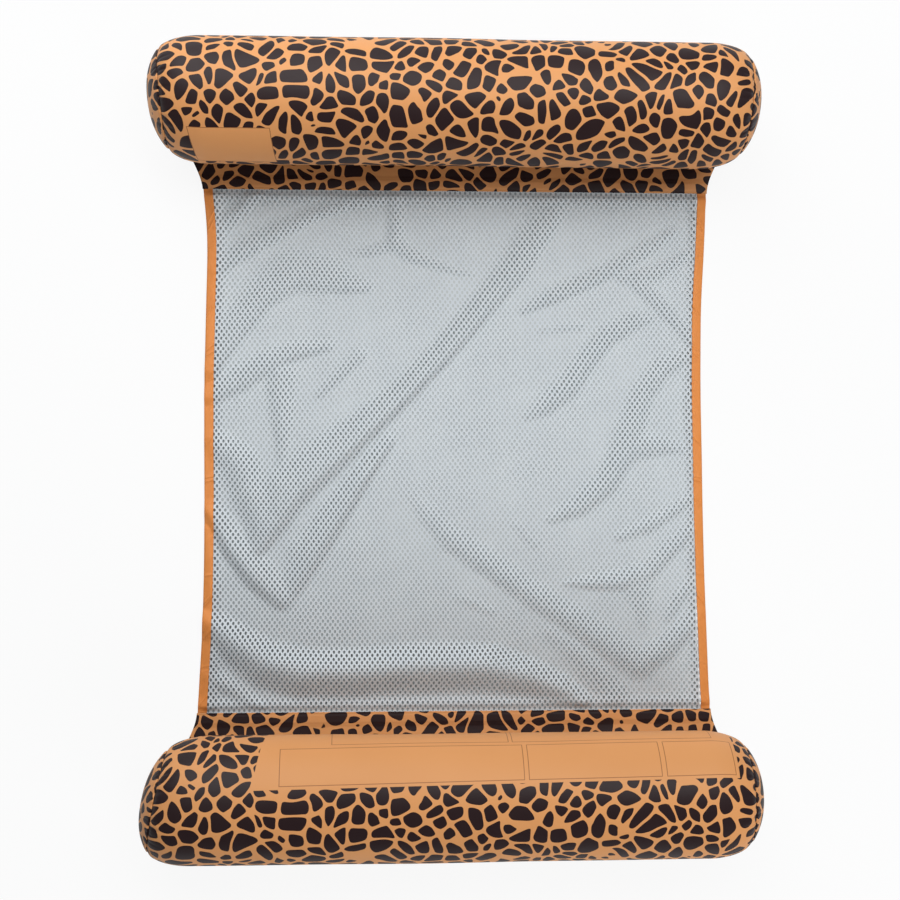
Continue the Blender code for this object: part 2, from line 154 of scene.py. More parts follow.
# Folds of the net as it lies, in millimetres: how far each spreads to the left and right of the way
# its crest runs, then x, y, height and half width at points of the crest
FOLDS = (
    (0.6, 1.4, ((112, 266, 2.8, 26), (72, 200, 4.2, 22), (33, 155, 5.2, 20), (-10, 105, 6.4, 18),
                (-60, 55, 7.6, 18), (-100, 18, 8.6, 23), (-140, -18, 8.6, 29), (-180, -52, 8, 33),
                (-200, -82, 6.6, 27), (-218, -110, 4, 18))),
    (0.65, 1.3, ((-72, 8, 3.4, 11), (-100, -30, 6, 16), (-130, -75, 6.4, 22), (-160, -122, 5, 25),
                 (-178, -152, 2.6, 20), (-188, -172, 0.8, 10))),
    (1.3, 0.8, ((-272, -70, 5, 15), (-247, -112, 6.8, 19), (-222, -142, 7.2, 22),
                (-196, -166, 4.2, 18))),
    (1, 1, ((-266, 8, 3.2, 20), (-240, -14, 4.8, 27), (-226, -50, 5.2, 29), (-213, -92, 4, 22))),
    (1.2, 0.7, ((-272, 58, 2.7, 15), (-236, 76, 3.4, 21), (-210, 94, 3.7, 20), (-176, 108, 3.1, 15),
                (-140, 115, 1.7, 9))),
    (1, 1, ((-196, 84, 3.4, 24), (-193, 45, 3.1, 18), (-192, 10, 2.4, 11), (-193, -14, 1, 7))),
    (1.45, 0.65, ((-270, 88, 3.4, 16), (-243, 132, 3.7, 20), (-216, 168, 3.7, 24),
                  (-186, 190, 3.4, 31), (-150, 188, 3.1, 26), (-122, 182, 2.7, 15),
                  (-98, 180, 1.4, 9))),
    (1.2, 0.7, ((-272, 200, 3.4, 17), (-236, 224, 3.4, 16), (-200, 243, 3.1, 15),
                (-160, 262, 2.7, 12), (-120, 275, 2, 12), (-84, 280, 1.7, 12))),
    (1, 1, ((-268, 250, 2.7, 14), (-244, 268, 2.4, 12), (-222, 290, 2, 12))),
    (1, 1, ((-275, 90, 2, 12), (-272, 160, 2.7, 15), (-272, 230, 2.7, 14), (-272, 290, 2.7, 13))),
    (1, 1, ((-275, -90, 2, 12), (-270, -150, 3.1, 13), (-270, -290, 2.7, 13))),
    (1, 1, ((272, -280, 2.4, 12), (270, -160, 2, 12), (272, -20, 2.4, 14), (270, 50, 2.4, 18),
            (273, 130, 1.7, 11), (272, 200, 1.4, 10), (272, 290, 2, 12))),
    (1, 1, ((-68, 290, 2, 15), (-67, 255, 2, 13), (-68, 230, 2.4, 14), (-40, 215, 2, 11),
            (-5, 203, 1.4, 7), (20, 197, 0.7, 5))),
    (1, 1, ((-68, 230, 2, 12), (-98, 222, 1.7, 9), (-116, 221, 0.7, 6))),
    (1.15, 0.75, ((78, 156, 1.7, 7), (105, 169, 3.1, 13), (140, 184, 3.1, 14), (180, 203, 2.7, 14),
                  (215, 225, 2.4, 13), (246, 246, 1.4, 9))),
    (1, 1, ((190, 196, 2, 12), (225, 200, 2.4, 14), (250, 214, 2, 9), (264, 224, 1.4, 7))),
    (1, 1, ((206, 190, 2.4, 14), (232, 165, 2.7, 12), (255, 140, 2.4, 10), (270, 122, 2, 9))),
    (1.1, 0.8, ((84, 38, 1.4, 11), (105, 50, 3, 17), (130, 70, 3.5, 18), (150, 100, 3.4, 17),
                (176, 129, 3.3, 17), (205, 145, 2.7, 15), (222, 148, 1, 9))),
    (1.1, 0.8, ((108, -78, 1.4, 10), (140, -64, 3.5, 18), (170, -40, 4.1, 19), (190, -5, 4.1, 22),
                (200, 25, 3.7, 22), (212, 60, 3.3, 19), (235, 92, 3, 17), (266, 106, 2.6, 12))),
    (1, 1, ((200, 4, 3.4, 22), (235, 5, 2.7, 14), (257, 0, 1, 8))),
    (1, 1, ((184, -98, 1.4, 8), (215, -86, 2.4, 12), (245, -69, 2.4, 10), (268, -52, 2, 8))),
    (1.15, 0.8, ((124, -150, 1, 6), (150, -150, 2.7, 12), (185, -149, 3.4, 16),
                 (215, -139, 3.1, 16), (240, -115, 3.1, 14), (266, -90, 2.7, 10))),
    (1, 1, ((204, -150, 2.4, 24), (208, -178, 1.7, 16), (210, -196, 0.7, 8))),
    (1, 1, ((238, -188, 1, 8), (250, -166, 2.4, 10), (266, -148, 2, 10))),
    (1.2, 0.95, ((-50, -52, 0.3, 8), (-30, -75, 1.3, 14), (0, -105, 2.4, 18), (40, -131, 3, 18),
                 (90, -166, 3.2, 18), (130, -191, 3.1, 20), (170, -220, 3.1, 22),
                 (205, -241, 3.2, 22), (235, -225, 3.4, 17), (260, -199, 3.2, 14),
                 (272, -184, 2.6, 12))),
    (1, 1, ((108, -206, 1, 14), (148, -240, 2, 22), (176, -274, 2, 22))),
    (0.95, 1.15, ((-274, -190, 7.4, 20), (-240, -216, 9.5, 26), (-208, -236, 10.5, 30),
                  (-170, -246, 11.6, 31), (-120, -247, 11.6, 31), (-60, -242, 11.6, 31),
                  (0, -240, 11.6, 31), (40, -242, 11, 30), (80, -252, 9.5, 26),
                  (116, -266, 7.4, 20), (142, -280, 4.2, 13))),
    (1, 1, ((-272, -250, 2.7, 15), (-236, -272, 2, 12), (-212, -286, 1.4, 8))),
    (1.15, 0.8, ((-150, 62, 1.4, 8), (-126, 85, 2.4, 10), (-104, 105, 1.7, 10))),
    (1, 1, ((96, 134, 0.7, 6), (142, 139, 1, 8))),
    (1, 1, ((68, -84, 0.7, 8), (90, -106, 0.7, 8))),
    (1, 1, ((4, -164, 0.7, 9), (40, -180, 1, 9))),
)

# Bare label panels: side bounds along x, distances from the top line towards the net, and lean
LABELS = {
    "head": ((-0.2965, -0.200, 0.0455, 0.100, 0.11),),
    "foot": ((-0.217, 0.100, 0.0255, 0.150, 0.16), (0, 0.304, 0.0255, 0.150, 0)),
}

# Thin lines that divide the label panels, given as the panels are
FRAMES = {
    "head": ((-0.2963, -0.2002, 0.0457, 0.0998, 0.11),),
    "foot": (
        (-0.1885, 0.065, 0.0290, 0.074, 0),
        (0.070, 0.2095, 0.0290, 0.074, 0),
        (0.2150, 0.3000, 0.0290, 0.074, 0),
        (-0.135, 0.0514, 0.0800, 0.120, 0),
        (0.0557, 0.2800, 0.0800, 0.120, 0),
    ),
}

# Floor under the net: plain, with painted shade by the left side, the flaps and the left foot
# corner
PATCH_WIDTH = 0.270  # from the middle to each side
PATCH_LENGTH = 0.296  # from the middle to each flap
PATCH_EDGE = 0.0015
PAINTED_SHADE_BAND = (0.006, 0.016)  # from the patch's edge, between which the band of painted shade fades
PAINTED_SHADE_CORNER_LEAN = 0.55  # of the edge of the corner's painted shade, against x
PAINTED_SHADE_CORNER = (-0.50, 0.02)  # along y in the middle, between which the corner's painted shade fades


def colour(red, green, blue):
    """A colour given as it looks on screen, in the linear values that shaders work in."""
    return (*(((value / 255 + 0.055) / 1.055) ** 2.4 for value in (red, green, blue)), 1)


class Signal:
    """A value in a material that takes part in plain arithmetic."""

    def __init__(self, finish, socket):
        self.finish = finish
        self.socket = socket

    def other(self, name):
        """Another output of the same node."""
        return Signal(self.finish, self.socket.node.outputs[name])

    def math(self, operation, *values):
        """The result of a Math node."""
        return self.finish.node("ShaderNodeMath", {"operation": operation}, dict(enumerate(values)))

    def __add__(self, other):
        return self.math("ADD", self, other)

    def __radd__(self, other):
        return self.math("ADD", other, self)

    def __sub__(self, other):
        return self.math("SUBTRACT", self, other)

    def __rsub__(self, other):
        return self.math("SUBTRACT", other, self)

    def __mul__(self, other):
        return self.math("MULTIPLY", self, other)

    def __rmul__(self, other):
        return self.math("MULTIPLY", other, self)

    def __abs__(self):
        return self.math("ABSOLUTE", self)

    def least(self, other):
        return self.math("MINIMUM", self, other)

    def most(self, other):
        return self.math("MAXIMUM", self, other)

    def sine(self):
        return self.math("SINE", self)


class Finish:
    """A material that is put together node by node."""

    def __init__(self, name):
        self.material = bpy.data.materials.new(name)
        self.material.use_nodes = True
        self.tree = self.material.node_tree
        self.surface = self.tree.nodes["Principled BSDF"]

    def node(self, kind, settings, values, output=0):
        """A new node with its settings, and with values or links at its sockets."""
        made = self.tree.nodes.new(kind)
        for name, value in settings.items():
            setattr(made, name, value)
        for name, value in values.items():
            self.plug(made.inputs[name], value)
        return Signal(self, made.outputs[output])

    def plug(self, socket, value):
        """Links a signal to a socket, or sets the socket's own value."""
        if isinstance(value, Signal):
            self.tree.links.new(value.socket, socket)
        else:
            socket.default_value = value

    def surface_values(self, values):
        """Sets or links sockets of the shader."""
        for name, value in values.items():
            self.plug(self.surface.inputs[name], value)

    def place(self):
        """A point of the piece, in metres."""
        return self.node("ShaderNodeTexCoord", {}, {}, "Object")

    def noise(self, place, scale, detail, settings=None, output=0):
        """Soft random variation, whose waves are scale to a metre."""
        values = {"Vector": place, "Scale": scale, "Detail": detail}
        return self.node("ShaderNodeTexNoise", settings or {}, values, output)

    def vector(self, operation, values):
        """Arithmetic on whole places."""
        return self.node("ShaderNodeVectorMath", {"operation": operation}, values)

    def mixed(self, share, first, second):
        """A colour between two."""
        return self.node("ShaderNodeMix", {"data_type": "RGBA"}, {0: share, 6: first, 7: second}, 2)

    def step(self, value, low, high):
        """0 below low and 1 above high, with a smooth change between."""
        values = {"Value": value, "From Min": low, "From Max": high}
        return self.node("ShaderNodeMapRange", {"interpolation_type": "SMOOTHSTEP"}, values)

    def bump(self, height, distance):
        """Raises the surface by height times distance."""
        raised = self.node("ShaderNodeBump", {}, {"Height": height, "Distance": distance})
        self.surface_values({"Normal": raised})


def box_depth(x, y, bounds):
    """How far a point lies inside a rectangle that may lean, below zero outside."""
    left, right, low, high, lean = bounds
    across = (right - left) / 2 - abs(x - (y - low) * lean - (left + right) / 2)
    along = (high - low) / 2 - abs(y - (low + high) / 2)
    return across.least(along)


def spots(finish, place):
    """1 inside the print's rounded spots and 0 on its ground."""
    cell_size = 0.0182
    softness = 0.85  # how round the corners of the spots are
    bend, bend_scale = 0.021, 23  # how far spots are drawn out of line, and how often in a metre
    widest, spread = 0.0515, 0.028  # cut of the widest spots, and how far others lie below it
    ink_edge = (-0.0012, 0.0018)
    drift = finish.noise(place, bend_scale, 0.5, {"noise_dimensions": "2D"}, "Color")
    drift = finish.vector("SUBTRACT", {0: drift, 1: (0.5, 0.5, 0.5)})
    drift = finish.vector("SCALE", {0: drift, "Scale": bend})
    bent = finish.vector("ADD", {0: place, 1: drift})
    settings = {"voronoi_dimensions": "2D", "feature": "F1"}
    values = {"Vector": bent, "Scale": 1 / cell_size}
    nearest = finish.node("ShaderNodeTexVoronoi", settings, values)
    settings = {"voronoi_dimensions": "2D", "feature": "SMOOTH_F1"}
    blurred = finish.node("ShaderNodeTexVoronoi", settings, {**values, "Smoothness": softness})
    draw = finish.node("ShaderNodeSeparateColor", {}, {"Color": nearest.other("Color")})
    inside = widest - spread * draw - (nearest - blurred)
    return finish.step(inside, *ink_edge)


def printed_film(name, labels=(), frames=()):
    """Satin vinyl film printed with dark spots on tan, with bare panels and their thin outlines."""
    finish = Finish(name)
    place = finish.node("ShaderNodeUVMap", {"uv_map": "print"}, {})
    point = finish.node("ShaderNodeSeparateXYZ", {}, {"Vector": place})
    x, y = point, point.other("Y")
    share = spots(finish, place)
    label_edge = (-0.0002, 0.0002)
    for bounds in labels:
        share = share * (1 - finish.step(box_depth(x, y, bounds), *label_edge))
    ground = finish.mixed(finish.noise(place, 9, 2), colour(223, 158, 101), colour(214, 149, 92))
    dark = finish.mixed(finish.noise(place, 30, 1), colour(37, 23, 25), colour(43, 28, 29))
    printed = finish.mixed(share, ground, dark)
    line_edge, line_strength = (0.00025, 0.00055), 0.75
    for bounds in frames:
        line = 1 - finish.step(abs(box_depth(x, y, bounds)), *line_edge)
        printed = finish.mixed(line * line_strength, printed, colour(128, 78, 44))
    roughness = 0.43 + 0.08 * finish.noise(place, 60, 2)
    finish.surface_values({"Base Color": printed, "Roughness": roughness})
    finish.surface_values({"Specular IOR Level": 0.25})
    finish.bump(finish.noise(place, 900, 3), 0.00004)
    return finish.material


def net_cloth():
    """Pale blue-grey knitted polyester."""
    finish = Finish("net cloth")
    place = finish.place()
    tone = finish.mixed(finish.noise(place, 25, 2), colour(201, 209, 215), colour(208, 215, 219))
    yarn = finish.noise(place, 2600, 2)
    finish.surface_values({"Base Color": tone, "Roughness": 0.62, "Sheen Weight": 0.15})
    finish.bump(yarn, 0.00012)
    return finish.material


def binding_tape():
    """Orange satin ribbon with a fine cross rib."""
    finish = Finish("binding tape")
    place = finish.place()
    tone = finish.mixed(finish.noise(place, 120, 3), colour(232, 148, 78), colour(222, 136, 66))
    point = finish.node("ShaderNodeSeparateXYZ", {}, {"Vector": place})
    rib_spacing = 0.0007
    rib = (point.other("Y") * (2 * math.pi / rib_spacing)).sine()
    finish.surface_values({"Base Color": tone, "Roughness": 0.48, "Specular IOR Level": 0.3})
    finish.bump(rib * 0.5 + finish.noise(place, 400, 2), 0.00008)
    return finish.material


def clear_vinyl():
    """Soft clear moulding, slightly milky."""
    finish = Finish("clear vinyl")
    place = finish.place()
    tone = finish.mixed(finish.noise(place, 200, 2), colour(242, 244, 243), colour(230, 234, 232))
    roughness = 0.24 + 0.08 * finish.noise(place, 500, 2)
    finish.surface_values({"Base Color": tone, "Roughness": roughness})
    finish.surface_values({"Transmission Weight": 0.35, "IOR": 1.52})
    finish.bump(finish.noise(place, 700, 2), 0.00003)
    return finish.material


def piece(name, bm, material):
    """An object from a bmesh, with its place in its mesh."""
    mesh = bpy.data.meshes.new(name)
    bm.to_mesh(mesh)
    bm.free()
    mesh.materials.append(material)
    mesh.shade_smooth()
    made = bpy.data.objects.new(name, mesh)
    bpy.context.collection.objects.link(made)
    return made


def surface(name, columns, rows, place, material, print_place=None, mend=None):
    """A grid laid out by place from shares across and along, with its print's map in metres."""
    bm = bmesh.new()
    bmesh.ops.create_grid(bm, x_segments=columns, y_segments=rows, size=0.5)
    made = piece(name, bm, material)
    mesh = made.data
    shares = points(made) + 0.5
    u, v = np.round(shares[:, 0], 7), np.round(shares[:, 1], 7)
    if print_place:
        corners = np.zeros(len(mesh.loops), dtype=int)
        mesh.loops.foreach_get("vertex_index", corners)
        uv = np.stack(print_place(u, v), axis=1)[corners]
        mesh.uv_layers.new(name="print").data.foreach_set("uv", uv.ravel())
    set_points(made, np.stack(place(u, v), axis=1))
    bm = bmesh.new()
    bm.from_mesh(mesh)
    bmesh.ops.remove_doubles(bm, verts=bm.verts, dist=1e-6)
    if mend:
        mend(bm)
    bmesh.ops.recalc_face_normals(bm, faces=bm.faces)
    bm.to_mesh(mesh)
    bm.free()
    mesh.shade_smooth()
    return made


def points(made):
    """The mesh's points as an array that can be changed and given to set_points."""
    flat = np.zeros(len(made.data.vertices) * 3)
    made.data.vertices.foreach_get("co", flat)
    return flat.reshape(-1, 3)


def set_points(made, co):
    """Moves the mesh's points to the places in such an array."""
    made.data.vertices.foreach_set("co", co.ravel())
    made.data.update()


def thicken(made, thickness):
    """A wall inward of the modelled surface."""
    change = made.modifiers.new("wall", "SOLIDIFY")
    change.thickness = thickness
    change.offset = -1


def smooth_share(value):
    """0 to 1 with flat ends."""
    value = np.clip(value, 0, 1)
    return value * value * (3 - 2 * value)


def side_x(y):
    """The outer edge of the binding, where the panel lies true."""
    return PANEL_WAIST / 2 + SIDE_BOW * (y / FOLD.y) ** 2


def settled(x, y):
    """How far a point of the panel or a flap has moved outward, fading from the sides inward."""
    outward = 0
    for hand in (-1, 1):
        steps = np.arange(-2, 3) * SETTLED_BLUR
        shift = sum(np.interp(y + step, SETTLED_Y, SETTLED[hand]) for step in steps) / len(steps)
        outward = outward + hand * shift * smooth_share(hand * x / side_x(0))
    return outward


def pleats(angle, reach, seed):
    """Depth of the gathers at a distance reach from the end seam."""
    draw = np.random.default_rng(seed)
    starts = draw.uniform(0, 2 * math.pi, 6)

    def wave(count, start):
        return np.sin(count * angle + starts[start])

    phase = PLEATS / 2 * angle + 1.1 * wave(3, 0) + 0.7 * wave(8, 1)
    valley = (1 - np.abs(np.sin(phase))) ** 1.6
    strength = 0.55 + 0.25 * wave(11, 2) + 0.20 * wave(17, 3)
    length = PLEAT_REACH * (1 + 0.45 * wave(7, 4) + 0.3 * wave(13, 5))
    fine = 0.15 * wave(71, 2) * np.exp(-((reach / 0.006) ** 2))
    crease = SEAM_CREASE * np.exp(-reach / CREASE_REACH)
    return PLEAT_DEPTH * (strength * valley + fine) * np.exp(-((reach / length) ** 2)) + crease


def turned(share):
    """The angle from the tube's top line at a share of the way round from its lowest line."""
    return math.pi * (2 * share - 1)


def on_tube(x, radius, angle, side):
    """A point by its radius and its angle from the tube's top line, growing towards the net."""
    return x, side * (TUBE_Y - radius * np.sin(angle)), TUBE_RADIUS + radius * np.cos(angle)


def tucked(end, hand, radius, angle):
    """How far the weld draws a point at a tube's end short of its true place."""
    outer, inner = TUCKED[end, hand]
    return (outer + inner) / 2 + (inner - outer) / 2 * np.sin(angle) * radius / SEAM_RADIUS


def along(outline, share):
    """x and radius where a share of an outline's points is passed."""
    steps = share * (len(outline) - 1)
    x, radius = np.array(outline).T
    return np.interp(steps, range(len(outline)), x), np.interp(steps, range(len(outline)), radius)


def barrel_outline(valve_x):
    """(x, radius) from end to end, closer together at the shoulders and by the valve."""
    length = SHOULDER_LENGTH / math.sin(SHOULDER_SWEEP)
    drop = (TUBE_RADIUS - SEAM_RADIUS) / (1 - math.cos(SHOULDER_SWEEP))
    start = SEAM_X - SHOULDER_LENGTH
    half = [*np.linspace(0, valve_x - 1.1 * VALVE_REACH, 14)]
    half += [*np.linspace(valve_x - VALVE_REACH, valve_x + VALVE_REACH, 20)]
    half += [*np.linspace(valve_x + 1.2 * VALVE_REACH, start - 0.2 * VALVE_REACH, 10)]
    outline = [(x, TUBE_RADIUS) for x in half]
    for sweep in SHOULDER_SWEEP * (1 - np.linspace(1, 0, 44) ** 1.25):
        radius = TUBE_RADIUS - drop * (1 - math.cos(sweep))
        outline.append((start + length * math.sin(sweep), radius))
    outline += [(SEAM_X, SEAM_RADIUS - SEAM_LIP * share) for share in (0.15, 0.5, 1)]
    return [(-x, radius) for x, radius in outline[:0:-1]] + outline


def barrel(end, side, material):
    """The rolled film, drawn in to its end seams with gathers, slack by a hair along its length."""
    valve_x = SEAM_X - VALVE_INSET
    outline = barrel_outline(valve_x)

    def place(u, v):
        angle = turned(u)
        x, radius = along(outline, v)
        reach = SEAM_X - np.abs(x)
        sway = 0.00035 * np.sin(3 * angle + 14 * x) + 0.0002 * np.sin(5 * angle - 31 * x + 1)
        slack = smooth_share(np.cos(angle) + 1) * smooth_share(reach / 0.01)
        left, right = (pleats(angle, reach, PLEAT_SEEDS[hand] + side) for hand in (-1, 1))
        away = np.where(x < 0, left, right)
        short = np.where(x < 0, -tucked(end, -1, radius, angle), tucked(end, 1, radius, angle))
        short = short * smooth_share((np.abs(x) - TUCK_START) / TUCK_RUN)
        return on_tube(x - short, radius + sway * slack - away, angle, side)

    def print_place(u, v):
        x = along(outline, v)[0]
        return x, TUBE_RADIUS * turned(u) - PRINT_TWIST[end] * (x - PRINT_TWIST_X)

    sine, cosine = math.sin(VALVE_ANGLE), math.cos(VALVE_ANGLE)
    outward = Vector((0, side * sine, -cosine))
    hole_y, hole_z = TUBE_Y + TUBE_RADIUS * sine, TUBE_RADIUS - TUBE_RADIUS * cosine
    hole = Vector((side * valve_x, side * hole_y, hole_z))

    def from_axis(point):
        offset = point - hole
        return offset - offset.dot(outward) * outward

    def cut_valve_hole(bm):
        centres = {face: face.calc_center_median() for face in bm.faces}
        near = [face for face in bm.faces if (centres[face] - hole).length < 2 * VALVE_HOLE]
        inside = [face for face in near if from_axis(centres[face]).length < VALVE_HOLE]
        bmesh.ops.delete(bm, geom=inside, context="FACES")
        for vert in bm.verts:
            if vert.is_boundary and (vert.co - hole).length < 2 * VALVE_HOLE:
                offset = from_axis(vert.co)
                vert.co += offset * (VALVE_HOLE / offset.length - 1)

    name = end + "_tube_film"
    made = surface(name, FACETS, len(outline) - 1, place, material, print_place, cut_valve_hole)
    thicken(made, FILM)
    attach(made, end + "_tube")
    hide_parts(end + "_tube_barrel")


def end_disc(end, side, hand, material):
    """A domed disc whose rim is turned inward on the barrel's lip and gathered with it."""
    name = f"{end}_{'left' if hand < 0 else 'right'}_end_disc"
    face = SEAM_X + SEAM_GAP
    rim = face + FILM
    rise = DOME_X - rim + DOME_MORE
    shares = np.linspace(0, 1, 40) ** 0.7  # closer together towards the rim
    outline = [(rim + rise * (1 - share**DOME_POWER), SEAM_RADIUS * share) for share in shares]
    outline += [(face, SEAM_RADIUS - 0.0001), (face, SEAM_RADIUS - SEAM_LIP)]

    def place(u, v):
        angle = turned(u)
        x, radius = along(outline, v)
        reach = np.where(x > face + 1e-5, SEAM_RADIUS - radius, 0)
        away = pleats(angle, reach, PLEAT_SEEDS[hand] + side) * smooth_share(radius / 0.02)
        inward = smooth_share(reach / PLEAT_TURN)
        x = x - 0.8 * away * inward - tucked(end, hand, radius, angle)
        return on_tube(hand * x, radius - away * (1 - inward), angle, side)

    def print_place(u, v):
        angle, radius = turned(u), along(outline, v)[1]
        x, y = DISC_PRINT_PLACE
        return x * hand + radius * np.sin(angle), y * side + radius * np.cos(angle)

    made = surface(name + "_film", FACETS, len(outline) - 1, place, material, print_place)
    thicken(made, FILM)
    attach(made, end + "_tube")
    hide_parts(name)


def flap_ply(end, side, upper, material):
    """One of the two plies that hold the net's edge, pressed together by two welds."""
    last = FLAP_LENGTH - PLY_END - (0 if upper else LOWER_SETBACK)
    hem = HEM_END - FOLD.y

    def flat(u, v):
        run = PLY_SETBACK + v * (last - PLY_SETBACK)
        half = side_x(FOLD.y) + FLAP_OVERHANG + FLAP_FLARE * smooth_share(run / FLARE_RUN)
        return (2 * u - 1) * half, side * (FOLD.y + run), run

    def place(u, v):
        x, y, run = flat(u, v)
        if upper:
            # Down behind the net's edge, pressed in at the welds and slack from there to the tube
            z = PLY_TOP - (PLY_TOP - WELD_Z) * smooth_share((run - hem) / 0.004)
            for weld in FLAP_WELDS:
                z = z - FLAP_WELD_DEPTH * np.exp(-(((run - weld) / FLAP_WELD_WIDTH) ** 4))
            slack = smooth_share((run - 0.016) / 0.02) * smooth_share((last - run) / 0.022)
            z = z + slack * (0.0009 + 0.0006 * np.sin(31 * x + 2) + 0.0004 * np.sin(83 * x))
            z = z + 0.00015 * np.sin(57 * x + 40 * run) * smooth_share(run / 0.01)
        else:
            z = np.full_like(x, FILM + 0.0001)
        return x + settled(x, y), y, z

    def print_place(u, v):
        x, y = flat(u, v)[:2]
        return FLAP_PRINT * x + FLAP_PRINT_PLACE[0], FLAP_PRINT * y + FLAP_PRINT_PLACE[1]

    name = f"{end}_flap_{'upper' if upper else 'lower'}_ply"
    made = surface(name + "_film", 240, 72 if upper else 12, place, material, print_place)
    thicken(made, FILM)
    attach(made, end + "_flap")
    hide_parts(name)
    width = 2 * (side_x(FOLD.y) + FLAP_FLARE)
    (width - FLAP_FLARE) * last


def fold_heights(x, y):
    """How far the net is raised off the floor by its folds."""
    total = np.zeros_like(x)
    for left, right, crest in FOLDS:
        crest = np.array(crest) / 1000
        ridge = np.zeros_like(x)
        for first, second in zip(crest, crest[1:]):
            run = second[:2] - first[:2]
            passed = (x - first[0]) * run[0] + (y - first[1]) * run[1]
            share = np.clip(passed / run.dot(run), 0, 1)
            dx, dy = x - first[0] - share * run[0], y - first[1] - share * run[1]
            away = np.maximum(np.hypot(dx, dy), 1e-9)
            leftward = (run[0] * dy - run[1] * dx) / (away * math.hypot(*run))
            height, width = (first[k] + share * (second[k] - first[k]) for k in (2, 3))
            width = width * ((left + right) / 2 + (left - right) / 2 * leftward)
            ridge = np.maximum(ridge, height * smooth_share(1 - away / width))
        total += ridge**3
    return total ** (1 / 3)


def panel_height(x, y):
    """How high the panel lies, from folds and slight slack, drawn level at the flaps."""
    slack = 0.0002 + 0.0002 * (1 + np.sin(47 * x + 23 * y) * np.sin(38 * y - 17 * x + 1))
    slack += 0.00012 * (1 + np.sin(131 * x - 71 * y + 2) * np.sin(97 * y + 53 * x))
    seam_height, seam_inset, seam_run = 0.0016, 0.003, 0.007
    seam = seam_height * np.exp(-(((SEWN_Y - seam_inset - np.abs(y)) / seam_run) ** 2))
    level_y = SEWN_Y + 0.004
    return (fold_heights(x, y) + slack + seam) * smooth_share((level_y - np.abs(y)) / seam_run)


def net_surface(x, y):
    """The cloth's height, at its edges in the middle of the bindings' and flaps' thickness."""
    beside = np.minimum(side_x(y) - BINDING_WIDTH - np.abs(x), SEWN_Y + 0.001 - np.abs(y))
    edge = (FOLD.z - CONTACT) * (1 - smooth_share(beside / EDGE_RUN))
    return CONTACT + edge + panel_height(x, y)


def net_cells(material):
    """Hexagons with an oval hole, side by side, from edge to edge of the cloth."""
    columns = int(2 * side_x(FOLD.y) / PITCH) + 2
    pairs = int(HEM_END / ROW) + 2
    tip = 0.75 * ROW
    merge = PITCH / 50
    bm = bmesh.new()
    outer = bmesh.ops.create_circle(bm, segments=6, radius=1)["verts"]
    inner = bmesh.ops.create_circle(bm, segments=6, radius=0.5)["verts"]
    bmesh.ops.bridge_loops(bm, edges=bm.edges[:])
    for ring, half_width, end_y, side_y in (
        (outer, PITCH / 2, tip, ROW - tip),
        (inner, HOLE_WIDTH / 2, HOLE_LENGTH / 2, HOLE_LENGTH * 0.25),
    ):
        for vert in ring:
            at_tip = abs(vert.co.x) < 0.1
            vert.co.x = 0 if at_tip else math.copysign(half_width, vert.co.x)
            vert.co.y = math.copysign(end_y if at_tip else side_y, vert.co.y)
    copy = bmesh.ops.duplicate(bm, geom=bm.faces[:])["geom"]
    copied = [item for item in copy if isinstance(item, bmesh.types.BMVert)]
    bmesh.ops.translate(bm, verts=copied, vec=(PITCH / 2, ROW, 0))
    bmesh.ops.remove_doubles(bm, verts=bm.verts, dist=merge)
    corner = (-(columns - 0.5) * PITCH / 2, -(pairs - 0.5) * ROW, 0)
    bmesh.ops.translate(bm, verts=bm.verts, vec=corner)
    cells = piece("net_cells", bm, material)
    for count, shift in ((columns, (PITCH, 0, 0)), (pairs, (0, 2 * ROW, 0))):
        repeat = cells.modifiers.new("repeat", "ARRAY")
        repeat.count = count
        repeat.use_relative_offset = False
        repeat.use_constant_offset = True
        repeat.constant_offset_displace = shift
        repeat.use_merge_vertices = True
        repeat.merge_threshold = merge
    bm = bmesh.new()
    bm.from_object(cells, bpy.context.evaluated_depsgraph_get())
    bpy.data.objects.remove(cells)
    for y in (-HEM_END, -SEWN_Y, SEWN_Y, HEM_END):
        everything = bm.verts[:] + bm.edges[:] + bm.faces[:]
        bmesh.ops.bisect_plane(bm, geom=everything, plane_co=(0, y, 0), plane_no=(0, 1, 0))
    return bm


def net_part(name, cells, low, high, inset, material):
    """The cells between two places along y, in their folds, set in from the bindings' edges."""
    bm = cells.copy()
    waste = []
    for face in bm.faces:
        centre = face.calc_center_median()
        if not low < centre.y < high or abs(centre.x) > side_x(centre.y) - inset:
            waste.append(face)
    bmesh.ops.delete(bm, geom=waste, context="FACES")
    bmesh.ops.recalc_face_normals(bm, faces=bm.faces)
    made = piece(name, bm, material)
    co = points(made)
    x, y = co[:, 0].copy(), co[:, 1].copy()
    pull_run = 0.05
    pull = smooth_share((SEWN_Y - np.abs(y)) / pull_run)
    pull = pull * smooth_share((side_x(y) - np.abs(x)) / pull_run)
    x += pull * (0.0011 * np.sin(21 * y + 9 * x) + 0.0008 * np.sin(47 * y - 13 * x + 1))
    y += pull * (0.0012 * np.sin(17 * x + 11 * y + 2) + 0.0007 * np.sin(41 * x - 19 * y))
    set_points(made, np.stack((x + settled(x, y), y, net_surface(x, y)), axis=1))
    width = 2 * side_x(0)
    hole = 0.75 * HOLE_WIDTH * HOLE_LENGTH
    solid = 1 - hole / (PITCH * ROW)
    solid * width * (high - low)
    return made


def net(material):
    """The net between the flaps, and the two strips that the flaps hold."""
    cells = net_cells(material)
    made = net_part("net", cells, -SEWN_Y, SEWN_Y, NET_INSET, material)
    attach(made, "panel")
    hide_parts("mesh_panel")
    for end, side in (("head", 1), ("foot", -1)):
        low, high = sorted((side * SEWN_Y, side * HEM_END))
        strip = net_part(end + "_net_edge", cells, low, high, STRIP_INSET, material)
        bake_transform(strip)
        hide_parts(end + "_mesh_hem")
    cells.free()


